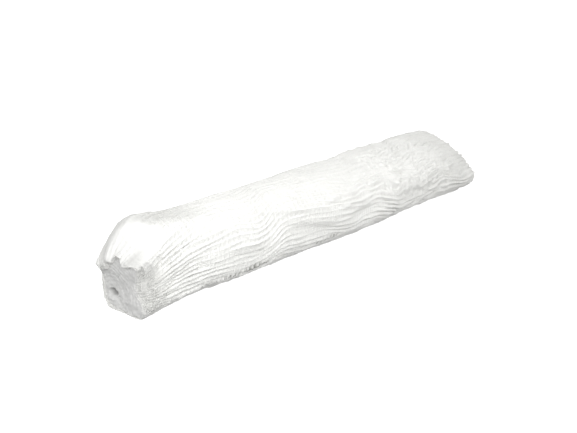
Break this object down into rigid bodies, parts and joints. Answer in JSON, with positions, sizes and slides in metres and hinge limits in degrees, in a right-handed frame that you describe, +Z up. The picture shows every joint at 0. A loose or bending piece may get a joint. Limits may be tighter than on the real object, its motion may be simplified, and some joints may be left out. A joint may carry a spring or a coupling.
{
  "type": "gauze bandage roll",
  "caption": "Loosely wound roll of crinkled cotton gauze bandage, lying on its side, round at one end under a hood of outer turns and pressed flatter at the other.",
  "frame": {"origin": "on the resting surface, under the middle of the roll's box", "axes": "+X along the roll towards its pressed end, -X towards the hooded end, -Y the front, +Z up"},
  "size_m": [0.15, 0.034, 0.0251],
  "materials": {
    "gauze": "bleached cotton gauze, matt, open crinkled weave"
  },
  "bodies": {
    "root": {"gauze_roll": "gauze"}
  },
  "joints": []
}
